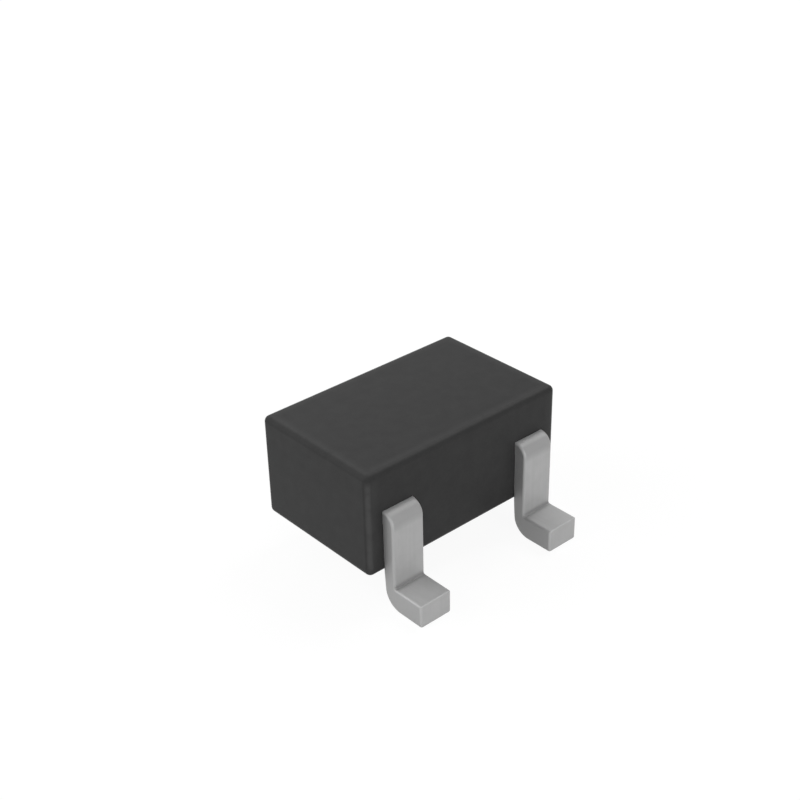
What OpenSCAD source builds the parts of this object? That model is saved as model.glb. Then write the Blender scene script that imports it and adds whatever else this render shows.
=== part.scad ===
// Small three-lead surface-mount transistor, in millimetres.
// A moulded body stands on three formed gull-wing leads. Sealed inside it are the inner lead
// frame, the die on its paddle and two looped bond wires.
// Z is up from the seating plane, X runs along the body, and the origin is under its centre.
// Base and emitter leave on the -Y side, base at -X. The collector leaves on the +Y side.

/* [Moulded body] */
// Length of the body, along X
body_l = 2.0; // [1.9:0.05:2.3]
// Width of the body, along Y
body_w = 1.25; // [1.15:0.05:1.5]
// Height of the body
body_h = 0.9; // [0.85:0.01:1.1]
// Rounding of every edge of the body
body_edge_r = 0.05; // [0.02:0.01:0.08]
// Height of the body's underside above the seating plane
standoff = 0.31; // [0.05:0.01:0.35]

/* [Formed leads] */
// Distance between the centre lines of the base and emitter leads
lead_pitch = 1.4; // [1.3:0.05:1.5]
// Width of a lead
lead_w = 0.31; // [0.2:0.01:0.35]
// Thickness of the lead strip
lead_t = 0.11; // [0.08:0.01:0.15]
// Height at which the strip's lower face leaves the body, above the body's underside
exit_h = 0.44; // [0.3:0.01:0.5]
// Gap between the body's side and the back of an upright, and the radius inside the shoulder
lead_gap = 0.003; // [0.002:0.001:0.02]
// Outer radius of the heel, where the upright turns into the foot
heel_r = 0.165; // [0.1:0.005:0.2]
// Inner radius between the upright and the foot
instep_r = 0.015; // [0.01:0.005:0.06]
// Length of the foot in front of the upright
foot_l = 0.295; // [0.2:0.005:0.4]
// Thickness of the foot, which is heavier than the strip above it
foot_t = 0.2; // [0.1:0.01:0.25]

/* [Inner lead frame] */
// Length of strip between the body's side and the post or the paddle
embed_l = 0.15; // [0.12:0.01:0.2]
// Radius of the notches that lock each strip in the moulding
lock_r = 0.035; // [0.02:0.005:0.05]
// Length of a bonding post, along Y
post_l = 0.3; // [0.15:0.01:0.4]
// Length of the die paddle, along X
paddle_l = 0.62; // [0.5:0.01:0.7]
// Width of the die paddle, along Y
paddle_w = 0.7; // [0.5:0.01:0.8]
// Gap between the paddle and each post
frame_gap = 0.11; // [0.08:0.01:0.15]
// Rounding of the corners of the posts and the paddle
plate_corner_r = 0.03; // [0.01:0.01:0.05]

/* [Die] */
// Length of the die, along X
die_l = 0.34; // [0.25:0.01:0.45]
// Width of the die, along Y
die_w = 0.34; // [0.25:0.01:0.45]
// Thickness of the die
die_t = 0.13; // [0.08:0.01:0.15]
// Thickness of the layer that fixes the die to the paddle
attach_t = 0.015; // [0.01:0.005:0.02]
// How far that layer spreads past the die on every side
attach_spread = 0.02; // [0.01:0.01:0.04]
// Side of a square bond pad
pad_size = 0.09; // [0.08:0.01:0.1]
// Height of a bond pad above the die
pad_t = 0.004; // [0.002:0.001:0.006]
// Distance from the die's edges to a bond pad
pad_inset = 0.03; // [0.02:0.01:0.04]

/* [Bond wires] */
// Diameter of a bond wire
wire_d = 0.025; // [0.018:0.001:0.033]
// Diameter of the squashed ball on the bond pad
ball_d = 0.07; // [0.05:0.005:0.08]
// Height of the ball
ball_h = 0.016; // [0.012:0.001:0.02]
// Height of the cone between the ball and the neck
cone_h = 0.01; // [0.006:0.001:0.014]
// How much wider than the wire the neck above the cone is, all round
neck_extra = 0.0015; // [0.001:0.0005:0.003]
// How far the neck reaches up round the start of the bend
neck_lap = 0.004; // [0.002:0.001:0.006]
// Height of the wire's centre line above the bond pad at the top of its loop
loop_h = 0.09; // [0.08:0.005:0.11]
// Radius of the bend at the top of the loop
loop_r = 0.04; // [0.03:0.005:0.05]
// Diameter of the crushed stitch on the post
stitch_d = 0.08; // [0.06:0.005:0.1]
// Thickness of the stitch
stitch_t = 0.006; // [0.004:0.001:0.01]

/* [Hidden] */
$fn = 48;

// Heights, from the seating plane up
exit_z = standoff + exit_h;
frame_top = exit_z + lead_t;
die_z = frame_top + attach_t;
pad_top = die_z + die_t + pad_t;

// Distances from the middle of the body, out to the toe
side_y = body_w / 2;
upright_back = side_y + lead_gap;
upright_front = upright_back + lead_t;
toe_y = upright_front + foot_l;

// Plan of the inner lead frame
plate_y = side_y - embed_l;
post_in = paddle_l / 2 + frame_gap;
post_out = lead_pitch / 2 + lead_w / 2;
post_mid = [(post_in + post_out) / 2, -plate_y + post_l / 2];
paddle_mid_y = plate_y - paddle_w / 2;
pad_mid = [die_l / 2 - pad_inset - pad_size / 2, paddle_mid_y - die_w / 2 + pad_inset + pad_size / 2];

bond_reach = norm(post_mid - pad_mid);

module rounded_rect(size, r) {
    square([size[0] - 2 * r, size[1]], center = true);
    square([size[0], size[1] - 2 * r], center = true);
    for (sx = [-1, 1], sy = [-1, 1])
        translate([sx * (size[0] / 2 - r), sy * (size[1] / 2 - r)])
            circle(r = r);
}

// A flat plate of the lead frame, centred on a point of its plan
module frame_plate(size, mid) {
    translate([mid[0], mid[1], exit_z])
        linear_extrude(lead_t)
            rounded_rect(size, plate_corner_r);
}

// The lead seen along the body: strip, shoulder bend, upright, heel and foot
module lead_outline() {
    shoulder_z = exit_z - lead_gap;
    translate([plate_y - plate_corner_r, exit_z])
        square([embed_l + plate_corner_r, lead_t]);
    translate([side_y, shoulder_z])
        intersection() {
            difference() {
                circle(r = lead_gap + lead_t);
                circle(r = lead_gap);
            }
            square(lead_gap + lead_t);
        }
    difference() {
        union() {
            translate([upright_back, 0])
                square([lead_t, shoulder_z]);
            translate([upright_back, 0])
                square([toe_y - upright_back, foot_t]);
            translate([upright_front, foot_t])
                square(instep_r);
        }
        translate([upright_front + instep_r, foot_t + instep_r])
            circle(r = instep_r);
        translate([upright_back, 0])
            difference() {
                square(heel_r);
                translate([heel_r, heel_r])
                    circle(r = heel_r);
            }
    }
}

// A formed lead that leaves on the +Y side, centred on X = 0, with its locking notches
module formed_lead() {
    difference() {
        translate([-lead_w / 2, 0, 0])
            rotate([90, 0, 90])
                linear_extrude(lead_w)
                    lead_outline();
        for (sx = [-1, 1])
            translate([sx * lead_w / 2, side_y - embed_l / 2, exit_z - lead_t])
                cylinder(r = lock_r, h = 3 * lead_t);
    }
}

// The emitter's lead and post. The base has its mirror image
module post_lead() {
    translate([lead_pitch / 2, 0, 0])
        mirror([0, 1, 0])
            formed_lead();
    frame_plate([post_out - post_in, post_l], post_mid);
}

// Squashed ball on the bond pad, with the cone and the neck above it
module ball_bond(neck_top) {
    rim_r = ball_h / 2;
    ball_in = ball_d / 2 - rim_r;
    neck_r = wire_d / 2 + neck_extra;
    rotate_extrude() {
        square([ball_in, ball_h]);
        intersection() {
            translate([ball_in, rim_r])
                circle(r = rim_r);
            square([ball_d, ball_h]);
        }
        polygon([[0, ball_h], [ball_in, ball_h], [neck_r, ball_h + cone_h], [neck_r, neck_top], [0, neck_top]]);
    }
}

// A wire from a ball bond at the origin to a stitch on the post, in the plane Y = 0.
// It bends over out of the neck and runs down straight along the common tangent.
module looped_wire(reach, drop) {
    bend_z = loop_h - loop_r;
    fall = bend_z + drop;
    run = sqrt(pow(reach - loop_r, 2) + fall * fall - loop_r * loop_r);
    slope = atan2(fall, reach - loop_r) + atan2(loop_r, run);
    past_end = 4 * wire_d;
    ball_bond(bend_z + neck_lap);
    intersection() {
        translate([loop_r, 0, bend_z])
            rotate([90, 0, 0])
                rotate([0, 0, 90 - slope]) {
                    rotate_extrude(angle = 90 + slope)
                        translate([loop_r, 0])
                            circle(d = wire_d);
                    translate([loop_r, 0, 0])
                        rotate([90, 0, 0])
                            cylinder(d = wire_d, h = run + past_end);
                }
        translate([-wire_d, -wire_d, -drop])
            cube([reach + wire_d + past_end, 2 * wire_d, drop + loop_h + wire_d]);
    }
    translate([reach, 0, -drop])
        cylinder(d = stitch_d, h = stitch_t);
}

// The emitter's wire, from its bond pad to its post. The base has its mirror image
module bond_wire() {
    way = post_mid - pad_mid;
    translate([pad_mid[0], pad_mid[1], pad_top])
        rotate([0, 0, atan2(way[1], way[0])])
            looped_wire(bond_reach, pad_top - frame_top);
}

// A block with every edge and corner rounded, centred on the origin. Three prisms that
// stop short of one another's rounding are closed by a ball at each corner.
module rounded_block(size, r) {
    core = size - 2 * r * [1, 1, 1];
    linear_extrude(core[2], center = true)
        rounded_rect([size[0], size[1]], r);
    rotate([90, 0, 0])
        linear_extrude(core[1], center = true)
            rounded_rect([size[0], size[2]], r);
    rotate([0, 90, 0])
        linear_extrude(core[0], center = true)
            rounded_rect([size[2], size[1]], r);
    for (a = [-1, 1], b = [-1, 1], c = [-1, 1])
        translate([a * core[0], b * core[1], c * core[2]] / 2)
            sphere(r = r);
}

module body() {
    color([0.19, 0.19, 0.2])
        difference() {
            translate([0, 0, standoff + body_h / 2])
                rounded_block([body_l, body_w, body_h], body_edge_r);
            base_lead();
            emitter_lead();
            collector_lead();
            die_attach();
            silicon_die();
            base_wire();
            emitter_wire();
        }
}

module base_lead() {
    color([0.72, 0.72, 0.73])
        mirror([1, 0, 0])
            post_lead();
}

module emitter_lead() {
    color([0.72, 0.72, 0.73])
        post_lead();
}

module collector_lead() {
    color([0.72, 0.72, 0.73]) {
        formed_lead();
        frame_plate([paddle_l, paddle_w], [0, paddle_mid_y]);
    }
}

module die_attach() {
    color([0.62, 0.63, 0.64])
        translate([0, paddle_mid_y, frame_top])
            linear_extrude(attach_t)
                rounded_rect([die_l + 2 * attach_spread, die_w + 2 * attach_spread], attach_spread);
}

module silicon_die() {
    color([0.3, 0.32, 0.38]) {
        translate([-die_l / 2, paddle_mid_y - die_w / 2, die_z])
            cube([die_l, die_w, die_t]);
        for (sx = [-1, 1])
            translate([sx * pad_mid[0] - pad_size / 2, pad_mid[1] - pad_size / 2, die_z + die_t])
                cube([pad_size, pad_size, pad_t]);
    }
}

module base_wire() {
    color([0.93, 0.74, 0.33])
        mirror([1, 0, 0])
            bond_wire();
}

module emitter_wire() {
    color([0.93, 0.74, 0.33])
        bond_wire();
}

body();
base_lead();
emitter_lead();
collector_lead();
die_attach();
silicon_die();
base_wire();
emitter_wire();
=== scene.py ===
"""Looks of a small three-lead surface-mount transistor: finishes, rounded lead edges, light and camera.

A length that carries MM is in metres. One without it is in millimetres, as the coordinates that the
materials work with are. Angles are in degrees.
"""
import math

import bmesh
import bpy
from mathutils import Matrix, Vector


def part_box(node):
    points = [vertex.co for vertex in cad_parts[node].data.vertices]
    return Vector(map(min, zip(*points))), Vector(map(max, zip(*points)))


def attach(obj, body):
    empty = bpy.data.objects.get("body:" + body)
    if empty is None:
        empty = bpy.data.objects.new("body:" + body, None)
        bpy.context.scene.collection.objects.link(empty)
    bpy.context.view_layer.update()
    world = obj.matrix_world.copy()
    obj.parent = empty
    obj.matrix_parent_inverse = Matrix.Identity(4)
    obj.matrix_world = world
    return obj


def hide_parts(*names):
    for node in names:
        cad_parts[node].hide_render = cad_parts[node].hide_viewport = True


MM = 0.001

# Camera, as solved from the photograph's straight edges. Heading is about the vertical, pitch counts
# up from looking straight down, and roll is about the line of sight
CAMERA_AT = Vector((-6.2443, -7.0586, 6.6570)) * MM
CAMERA_HEADING = -40.978
CAMERA_PITCH = 59.979
CAMERA_ROLL = -1.355
CAMERA_LENS = 61.995
SENSOR_WIDTH = 36.0
CLIP_START, CLIP_END = 0.5 * MM, 2000 * MM

# White of the floor and backdrop as the camera, metal and glass see it. The floor turns into the
# backdrop's white over a span of distances from the part
SEEN_WHITE = 1.0
FLOOR_GLOW = 0.93
FLOOR_SHADE = 0.1
FLOOR_FADE = (12.0, 60.0)

# The floor lights the part as paper of this grey does. It lies a hair under the soles, so that the
# two don't share a plane
PAPER = 0.8
FLOOR_DROP = 0.0005 * MM
FLOOR_HALF_SIDE = 400 * MM

# Light of the world, and each lamp's name, azimuth, elevation, radiance and side. Azimuth 0 is the
# front. The lamps stand far off, so that their light is even over the part
WORLD_LIGHT = 0.2
LAMP_DISTANCE = 120 * MM
LAMPS = (
    ("front_light", -6, 14, 4.66, 60 * MM),
    ("left_light", -120, 28, 2.8, 100 * MM),
    ("back_light", 155, 40, 1.64, 60 * MM),
    ("high_right_light", 90, 56, 3.92, 60 * MM),
)

# Rounding that stamping and plating leave on the leads. The toes are cut last, so their level
# edges have only a share of it
LEADS = ("base_lead", "emitter_lead", "collector_lead")
LEAD_EDGE_R = 0.019 * MM
LEAD_EDGE_SEGMENTS = 4
TOE_EDGE_SHARE = 0.5

# How a lead's mesh is made ready: points closer than WELD become one, neighbouring faces within
# FLAT_ANGLE of each other become one, and an edge between faces over SHARP_ANGLE apart is sharp
WELD = 0.0001 * MM
FLAT_ANGLE = 0.5
SHARP_ANGLE = 30

# The edges at an upright's back lie within BACK_GAP of the body's side, and over BACK_DROP below the
# top of the shoulder
BACK_GAP = 0.004 * MM
BACK_DROP = 0.02 * MM

# Most values of a noise lie within NOISE_SPAN, and those of two noises blended within BLEND_SPAN.
# BLEND_SHARE is the second one's share. BUMP_HEIGHT is the height of the finest bumps
NOISE_SPAN = (0.3, 0.7)
BLEND_SHARE = 0.4
BLEND_SPAN = (0.35, 0.65)
BUMP_HEIGHT = 0.001 * MM

# Greys, roughness, gloss and bump of the moulding, and the grey of the painted highlight on its
# edges. BREAK_SPAN of its patches leaves the share BREAK_TO of that painted highlight
PLAIN_BODY = (0.0375, 0.0435)
BODY_HIGHLIGHT_GREY = 0.08
BODY_ROUGHNESS = (0.36, 0.42)
BODY_SPECULAR = 0.05
BODY_BUMP = 0.25
BREAK_SPAN = (0.2, 0.5)
BREAK_TO = (0.6, 1.0)

# Painted highlight that stands in for light caught along the moulding's rounded edges. The edges
# are rounded by BODY_EDGE_R, and the spans count in that radius, inward from the sides of the
# body's box. The painted line on an upright edge leans towards the long side by LINE_LEAN
BODY_EDGE_R = 0.05
LINE_LEAN = 1.43
LINE_SPAN = (1.0, 0.69)
LINE_HIGHLIGHT = 0.9
BESIDE_SPAN = (2.6, 0.8)
IN_FRONT_SPAN = (0.35, 0.1)
BELOW_CORNER_SPAN = (0.7, 1.8)
SHOULDER_HIGHLIGHT = 0.3
RIM_SPAN = (0.25, 0.65, 0.85, 2.2)
RIM_HIGHLIGHT = 0.34

# Greys, roughness, metal share and bump of a lead's tin, and the scale of its drawn lines, which
# are long along the strip. The sheared sides are darker partly for their cut finish and partly as
# painted shade, the bend and the crease are painted shade, the rubbed edges are partly wear and
# partly painted highlight, and the toe corners are painted highlight
ROLLED_TIN = (0.405, 0.445)
SHEARED_AND_SHADED_TIN = 0.375
BEND_SHADE_TIN = 0.325
WORN_AND_HIGHLIT_TIN = 0.43
TOE_HIGHLIGHT_TIN = 0.48
CREASE_SHADE_TIN = 0.19
TIN_ROUGHNESS = (0.5, 0.6)
TIN_METAL = 0.31
TIN_BUMP = 0.2
DRAWN_SCALE = (1.0, 0.05, 0.05)

# EDGE_GAIN brings the mask of a rounded edge, which is a quarter at most, up to 1
EDGE_GAIN = 4.0

# Where a lead gets painted light and shade: the toe and how far back its corners get a painted
# highlight, the height where the bend begins and the span over which its outer side gets painted
# shade, and the crease of the instep, which gets painted shade
TOE_Y = 1.033
TOE_SPAN = (-0.04, -0.02)
BEND_Z = 0.747
BEND_SPAN = (-0.035, 0.035, 0.085, 0.116)
CREASE_AT = (0.743, 0.205, 0.0)
CREASE_REACH = 0.06
CREASE_POWER = 3.0

# Colour of the die's bond pads, their height above its face, and the height over which the colour
# turns
PAD_COLOUR = (0.85, 0.85, 0.86)
PAD_T = 0.004
PAD_FADE = 0.001

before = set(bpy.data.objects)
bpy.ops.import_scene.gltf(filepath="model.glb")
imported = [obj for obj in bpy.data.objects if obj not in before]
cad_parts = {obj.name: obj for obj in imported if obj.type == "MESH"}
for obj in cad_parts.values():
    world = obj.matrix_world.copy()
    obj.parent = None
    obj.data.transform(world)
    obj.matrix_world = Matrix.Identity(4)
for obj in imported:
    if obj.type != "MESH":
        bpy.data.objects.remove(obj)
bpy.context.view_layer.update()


def new_material(name):
    """An empty node material and a function that adds nodes to it."""
    material = bpy.data.materials.new(name)
    material.use_nodes = True
    return material, node_adder(material.node_tree)


def node_adder(tree):
    """Empties a node tree and returns a function that adds a node, with its inputs set or linked."""
    tree.nodes.clear()

    def add(kind, inputs=None, **settings):
        node = tree.nodes.new(kind)
        for key, value in settings.items():
            setattr(node, key, value)
        for key, value in (inputs or {}).items():
            if isinstance(value, bpy.types.NodeSocket):
                tree.links.new(value, node.inputs[key])
            else:
                node.inputs[key].default_value = value
        return node

    return add


def math_node(add, operation, first, second=0.0):
    return add("ShaderNodeMath", {0: first, 1: second}, operation=operation).outputs[0]


def vector_node(add, operation, first, second=(0.0, 0.0, 0.0), result="Vector"):
    inputs = {0: first, 1: second}
    return add("ShaderNodeVectorMath", inputs, operation=operation).outputs[result]


def parts_of(add, vector):
    """The X, Y and Z of a vector."""
    return add("ShaderNodeSeparateXYZ", {0: vector}).outputs


def millimetre_coordinates(add):
    """Object coordinates in millimetres, so that noise scales read as features per millimetre."""
    place = add("ShaderNodeTexCoord").outputs["Object"]
    return add("ShaderNodeVectorMath", {0: place, 3: 1 / MM}, operation="SCALE").outputs[0]


def noise(add, where, scale, detail=2.0, roughness=0.5):
    return add(
        "ShaderNodeTexNoise",
        {"Vector": where, "Scale": scale, "Detail": detail, "Roughness": roughness},
    ).outputs["Fac"]


def spread(add, value, span, to=(0.0, 1.0)):
    """Stretches a span of values over another, and clamps what lies beyond it."""
    return add(
        "ShaderNodeMapRange",
        {"Value": value, "From Min": span[0], "From Max": span[1], "To Min": to[0], "To Max": to[1]},
    ).outputs["Result"]


def hump(add, value, start, full_from, full_to, end):
    """0 outside start and end, and 1 between full_from and full_to."""
    rising = spread(add, value, (start, full_from))
    falling = spread(add, value, (end, full_to))
    return math_node(add, "MINIMUM", rising, falling)


def blend(add, first, second):
    """Two noises in one."""
    return add("ShaderNodeMix", {0: BLEND_SHARE, 2: first, 3: second}).outputs[0]


def tint(add, factor, first, second):
    """The first colour where the factor is 0, turning into the second where it is 1."""
    return add("ShaderNodeMix", {0: factor, 6: first, 7: second}, data_type="RGBA").outputs[2]


def grey(level):
    return (level, level, level, 1)


def bump(add, height, strength):
    inputs = {"Strength": strength, "Distance": BUMP_HEIGHT, "Height": height}
    return add("ShaderNodeBump", inputs).outputs[0]


def add_surface(add, inputs):
    """Gives a material one Principled shader with these inputs."""
    shader = add("ShaderNodeBsdfPrincipled", inputs)
    add("ShaderNodeOutputMaterial", {"Surface": shader.outputs[0]})


def body_edge_highlight(add, where):
    """0 to 1 along the edges of the body, where a paler colour is painted as a highlight.

    It is highest on an upright edge's rounding, towards the long side, and less beside that and
    where a flat face begins to turn over a rim.
    """
    low, high = (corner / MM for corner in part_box("body"))
    middle, half = (low + high) / 2, (high - low) / 2
    centred = vector_node(add, "SUBTRACT", where, middle)
    folded = vector_node(add, "ABSOLUTE", centred)
    inward = parts_of(add, vector_node(add, "SUBTRACT", half, folded))

    def within(value, span, full=1.0):
        """0 to full over a span that counts in edge radii."""
        return spread(add, value, [BODY_EDGE_R * radii for radii in span], (0.0, full))

    leaning = math_node(add, "MULTIPLY", inward["Y"], LINE_LEAN)
    line = within(math_node(add, "ADD", inward["X"], leaning), LINE_SPAN, LINE_HIGHLIGHT)
    beside = within(inward["X"], BESIDE_SPAN, SHOULDER_HIGHLIGHT)
    shoulder = math_node(add, "MULTIPLY", beside, within(inward["Y"], IN_FRONT_SPAN))
    edge = math_node(add, "MAXIMUM", line, shoulder)
    upright = math_node(add, "MULTIPLY", edge, within(inward["Z"], BELOW_CORNER_SPAN))

    nearest = math_node(add, "MINIMUM", inward["X"], inward["Y"])
    rim = hump(add, nearest, *(BODY_EDGE_R * radii for radii in RIM_SPAN))
    return math_node(add, "MAXIMUM", upright, math_node(add, "MULTIPLY", rim, RIM_HIGHLIGHT))


def mould_compound():
    """Black filled epoxy: matte, finely mottled, with a paler painted highlight along its edges."""
    material, add = new_material("mould_compound")
    where = millimetre_coordinates(add)
    patches = noise(add, where, scale=9.0, detail=3.0)
    specks = noise(add, where, scale=60.0)
    shade = spread(add, blend(add, patches, specks), BLEND_SPAN)
    plain = tint(add, shade, *(grey(level) for level in PLAIN_BODY))
    broken = spread(add, patches, BREAK_SPAN, BREAK_TO)
    # Painted highlight along the body's edges, broken up by the moulding's patches
    edge_highlight = math_node(add, "MULTIPLY", body_edge_highlight(add, where), broken)
    inputs = {
        "Base Color": tint(add, edge_highlight, plain, grey(BODY_HIGHLIGHT_GREY)),
        "Roughness": spread(add, specks, NOISE_SPAN, BODY_ROUGHNESS),
        "Specular IOR Level": BODY_SPECULAR,
        "Normal": bump(add, specks, BODY_BUMP),
    }
    add_surface(add, inputs)
    return material


def lead_marks(add, where):
    """Masks of a lead: sheared sides (partly painted shade), rubbed edges (partly painted highlight),
    toe corners (painted highlight), bend (painted shade) and crease (painted shade).

    The faces are told apart by the squares of their normal's parts. The strip's broad faces have no
    part in X. The product of two squares is highest on the rounding between two faces, where it is
    a quarter.
    """
    turned = parts_of(add, add("ShaderNodeTexCoord").outputs["Normal"])
    squares = [math_node(add, "MULTIPLY", turned[axis], turned[axis]) for axis in "XY"]
    broad = math_node(add, "SUBTRACT", 1.0, squares[0])
    place = parts_of(add, where)
    out, up = math_node(add, "ABSOLUTE", place["Y"]), place["Z"]

    # Sheared sides: darker partly for their cut finish and partly as painted shade beside the body
    sheared_and_shaded = spread(add, squares[0], (0.5, 1.0))
    side_edges = math_node(add, "MULTIPLY", squares[0], broad)
    # Rubbed edges: partly wear, partly a painted highlight of the light that the rounding catches
    rubbed_and_highlit = math_node(add, "MULTIPLY", side_edges, EDGE_GAIN)
    # Toe corners: a painted highlight line on the vertical corners of the toe
    upright_edges = math_node(add, "MULTIPLY", squares[0], squares[1])
    at_toe = spread(add, out, [TOE_Y + back for back in TOE_SPAN], (0.0, EDGE_GAIN))
    toe_corner_highlight = math_node(add, "MULTIPLY", upright_edges, at_toe)

    # Painted shade over the outer side of the bend
    bent = hump(add, up, *(BEND_Z + height for height in BEND_SPAN))
    bend_shade = math_node(add, "MULTIPLY", broad, bent)

    # Painted shade in the crease of the instep, darkest at its corner
    section = add("ShaderNodeCombineXYZ", {0: out, 1: up, 2: 0.0}).outputs[0]
    distance = vector_node(add, "DISTANCE", section, CREASE_AT, result="Value")
    closeness = spread(add, distance, (0.0, CREASE_REACH), (1.0, 0.0))
    steep = math_node(add, "POWER", closeness, CREASE_POWER)
    crease_shade = math_node(add, "MULTIPLY", broad, steep)
    return sheared_and_shaded, rubbed_and_highlit, toe_corner_highlight, bend_shade, crease_shade


def tinned_lead():
    """Matte tin over copper alloy: grey, with faint lines along the strip, and edges partly rubbed and
    partly painted lighter as highlights.

    It carries painted shade over the bend, in the crease of the instep and partly on its sheared sides,
    and a painted highlight on the toe corners.
    """
    material, add = new_material("tinned_lead")
    where = millimetre_coordinates(add)
    grain = noise(add, where, scale=70.0, detail=3.0, roughness=0.6)
    drawn_out = vector_node(add, "MULTIPLY", where, DRAWN_SCALE)
    lines = noise(add, drawn_out, scale=40.0)
    patches = noise(add, where, scale=11.0)
    fine = blend(add, lines, grain)
    shade = spread(add, blend(add, fine, patches), BLEND_SPAN)
    sheared_and_shaded, rubbed_and_highlit, toe_corner_highlight, bend_shade, crease_shade = lead_marks(add, where)
    colour = tint(add, shade, *(grey(level) for level in ROLLED_TIN))
    for mask, level in (
        (sheared_and_shaded, SHEARED_AND_SHADED_TIN),
        (bend_shade, BEND_SHADE_TIN),
        (rubbed_and_highlit, WORN_AND_HIGHLIT_TIN),
        (toe_corner_highlight, TOE_HIGHLIGHT_TIN),
        (crease_shade, CREASE_SHADE_TIN),
    ):
        colour = tint(add, mask, colour, grey(level))
    inputs = {
        "Base Color": colour,
        "Roughness": spread(add, grain, NOISE_SPAN, TIN_ROUGHNESS),
        "Metallic": TIN_METAL,
        "Normal": bump(add, fine, TIN_BUMP),
    }
    add_surface(add, inputs)
    return material


def grained_metal(name, dark, light, scale, roughness, inlay=None):
    """A metal whose colour and gloss vary with one fine grain.

    An inlay is a colour and the height, in millimetres, above which the surface has it.
    """
    material, add = new_material(name)
    where = millimetre_coordinates(add)
    grain = noise(add, where, scale, detail=3.0, roughness=0.6)
    colour = tint(add, spread(add, grain, NOISE_SPAN), (*dark, 1), (*light, 1))
    if inlay:
        inlay_colour, base = inlay
        above = spread(add, parts_of(add, where)["Z"], (base, base + PAD_FADE))
        colour = tint(add, above, colour, (*inlay_colour, 1))
    gloss = spread(add, grain, NOISE_SPAN, roughness)
    add_surface(add, {"Base Color": colour, "Roughness": gloss, "Metallic": 1.0})
    return material


def seen_directly(add):
    """1 where the camera, a reflection or clear glass looks, and 0 where light is gathered."""
    ray = add("ShaderNodeLightPath").outputs
    either = math_node(add, "MAXIMUM", ray["Is Camera Ray"], ray["Is Glossy Ray"])
    return math_node(add, "MAXIMUM", either, ray["Is Transmission Ray"])


def floor_material():
    """White floor: it lights the part as white paper does, and is seen white with a faint shadow."""
    material, add = new_material("floor")
    paper = add("ShaderNodeBsdfDiffuse", {"Color": grey(PAPER)})
    faint = add("ShaderNodeBsdfDiffuse", {"Color": grey(FLOOR_SHADE)})
    away = vector_node(add, "LENGTH", millimetre_coordinates(add), result="Value")
    strength = spread(add, away, FLOOR_FADE, (FLOOR_GLOW, SEEN_WHITE))
    glow = add("ShaderNodeEmission", {"Strength": strength})
    pale = add("ShaderNodeAddShader", {0: faint.outputs[0], 1: glow.outputs[0]})
    surface = add(
        "ShaderNodeMixShader", {0: seen_directly(add), 1: paper.outputs[0], 2: pale.outputs[0]}
    )
    add("ShaderNodeOutputMaterial", {"Surface": surface.outputs[0]})
    return material


def make_floor():
    mesh = bpy.data.meshes.new("floor")
    corners = [
        (x * FLOOR_HALF_SIDE, y * FLOOR_HALF_SIDE, -FLOOR_DROP)
        for x, y in ((-1, -1), (1, -1), (1, 1), (-1, 1))
    ]
    mesh.from_pydata(corners, [], [(0, 1, 2, 3)])
    floor = bpy.data.objects.new("floor", mesh)
    bpy.context.scene.collection.objects.link(floor)
    mesh.materials.append(floor_material())


def make_world():
    """A world that is seen white and lights the part evenly from all sides."""
    world = bpy.data.worlds.new("studio")
    bpy.context.scene.world = world
    world.use_nodes = True
    add = node_adder(world.node_tree)
    strength = spread(add, seen_directly(add), (0.0, 1.0), (WORLD_LIGHT, SEEN_WHITE))
    background = add("ShaderNodeBackground", {"Color": grey(1), "Strength": strength})
    add("ShaderNodeOutputWorld", {"Surface": background.outputs[0]})


def make_lamp(name, azimuth, elevation, radiance, side):
    """A square lamp aimed at the part. With radiance 1 the lamp itself would be seen as white."""
    a, e = math.radians(azimuth), math.radians(elevation)
    way = Vector((math.sin(a) * math.cos(e), -math.cos(a) * math.cos(e), math.sin(e)))
    lamp = bpy.data.lights.new(name, "AREA")
    lamp.shape = "SQUARE"
    lamp.size = side
    lamp.energy = radiance * math.pi * lamp.size**2
    holder = bpy.data.objects.new(name, lamp)
    holder.location = way * LAMP_DISTANCE
    holder.rotation_mode = "QUATERNION"
    holder.rotation_quaternion = (-way).to_track_quat("-Z", "Y")
    bpy.context.scene.collection.objects.link(holder)


def make_camera():
    camera = bpy.data.cameras.new("camera")
    camera.sensor_width = SENSOR_WIDTH
    camera.lens = CAMERA_LENS
    camera.clip_start = CLIP_START
    camera.clip_end = CLIP_END
    holder = bpy.data.objects.new("camera", camera)
    turn = (
        Matrix.Rotation(math.radians(CAMERA_HEADING), 4, "Z")
        @ Matrix.Rotation(math.radians(CAMERA_PITCH), 4, "X")
        @ Matrix.Rotation(math.radians(CAMERA_ROLL), 4, "Z")
    )
    holder.matrix_world = Matrix.Translation(CAMERA_AT) @ turn
    bpy.context.scene.collection.objects.link(holder)
    bpy.context.scene.camera = holder


def dress(node, material):
    """Gives a CAD node its material."""
    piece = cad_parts[node]
    piece.data.materials.clear()
    piece.data.materials.append(material)


def rounding_share(edge, body_side, shoulder_top):
    """How much of the full rounding an edge of a lead has.

    The part inside the moulding and the back edges of the upright, which lies against the
    moulding, stay sharp.
    """
    ends = [v.co for v in edge.verts]
    sealed = any(abs(end.y) < body_side - WELD for end in ends)
    at_back = all(
        abs(end.y) < body_side + BACK_GAP and end.z < shoulder_top - BACK_DROP for end in ends
    )
    if sealed or at_back:
        return 0.0
    at_toe = all(abs(end.y) > TOE_Y * MM - WELD for end in ends)
    level = abs(ends[0].z - ends[1].z) < WELD
    return TOE_EDGE_SHARE if at_toe and level else 1.0


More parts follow.
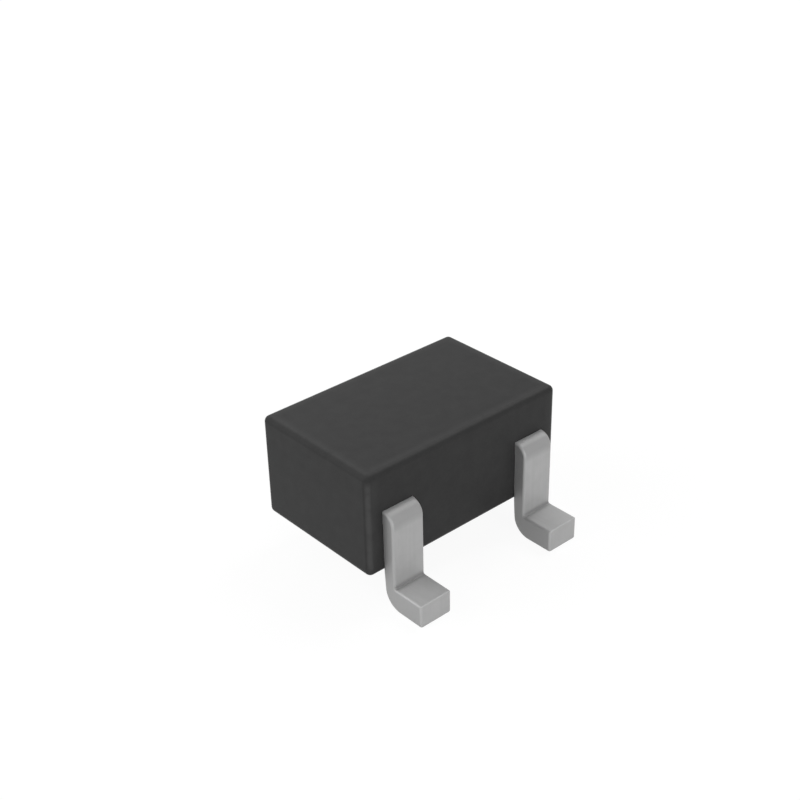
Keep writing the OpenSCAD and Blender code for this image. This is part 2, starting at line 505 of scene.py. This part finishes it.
def weighted_mesh(node, body_side, shoulder_top):
    """A copy of a lead's CAD mesh that is ready for the rounding of its edges."""
    solid = bmesh.new()
    solid.from_mesh(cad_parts[node].data)
    bmesh.ops.remove_doubles(solid, verts=solid.verts, dist=WELD)
    bmesh.ops.dissolve_limit(
        solid, angle_limit=math.radians(FLAT_ANGLE), verts=solid.verts, edges=solid.edges
    )
    for face in solid.faces:
        face.smooth = True
    weight = solid.edges.layers.float.new("bevel_weight_edge")
    for edge in solid.edges:
        if edge.calc_face_angle(0.0) > math.radians(SHARP_ANGLE):
            edge.smooth = False
            edge[weight] = rounding_share(edge, body_side, shoulder_top)
    mesh = bpy.data.meshes.new(node + "_rounded")
    solid.to_mesh(mesh)
    solid.free()
    return mesh


def rounded_lead(node, material, body_side, shoulder_top):
    """A lead with rounded edges, made from its CAD mesh and shown in place of it."""
    mesh = weighted_mesh(node, body_side, shoulder_top)
    mesh.materials.append(material)
    lead = bpy.data.objects.new(node + "_rounded", mesh)
    bpy.context.scene.collection.objects.link(lead)
    rounding = lead.modifiers.new("edge_rounding", "BEVEL")
    rounding.limit_method = "WEIGHT"
    rounding.width = LEAD_EDGE_R
    rounding.segments = LEAD_EDGE_SEGMENTS
    rounding.use_clamp_overlap = False
    shading = lead.modifiers.new("even_shading", "WEIGHTED_NORMAL")
    shading.keep_sharp = True
    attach(lead, "root")
    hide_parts(node)


make_camera()
make_floor()
make_world()
for lamp in LAMPS:
    make_lamp(*lamp)

tin = tinned_lead()
gold = grained_metal(
    "bond_wire",
    dark=(0.80, 0.55, 0.18),
    light=(0.93, 0.70, 0.30),
    scale=150.0,
    roughness=(0.16, 0.26),
)
paste = grained_metal(
    "die_attach",
    dark=(0.36, 0.36, 0.35),
    light=(0.62, 0.62, 0.60),
    scale=140.0,
    roughness=(0.45, 0.65),
)
silicon = grained_metal(
    "silicon",
    dark=(0.10, 0.11, 0.15),
    light=(0.15, 0.16, 0.21),
    scale=60.0,
    roughness=(0.12, 0.2),
    inlay=(PAD_COLOUR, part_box("silicon_die")[1].z / MM - PAD_T),
)
dress("body", mould_compound())
dress("die_attach", paste)
dress("silicon_die", silicon)
dress("base_wire", gold)
dress("emitter_wire", gold)
body_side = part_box("body")[1].y
shoulder_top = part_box("base_lead")[1].z
for name in LEADS:
    rounded_lead(name, tin, body_side, shoulder_top)

bpy.context.scene.view_settings.view_transform = "Standard"
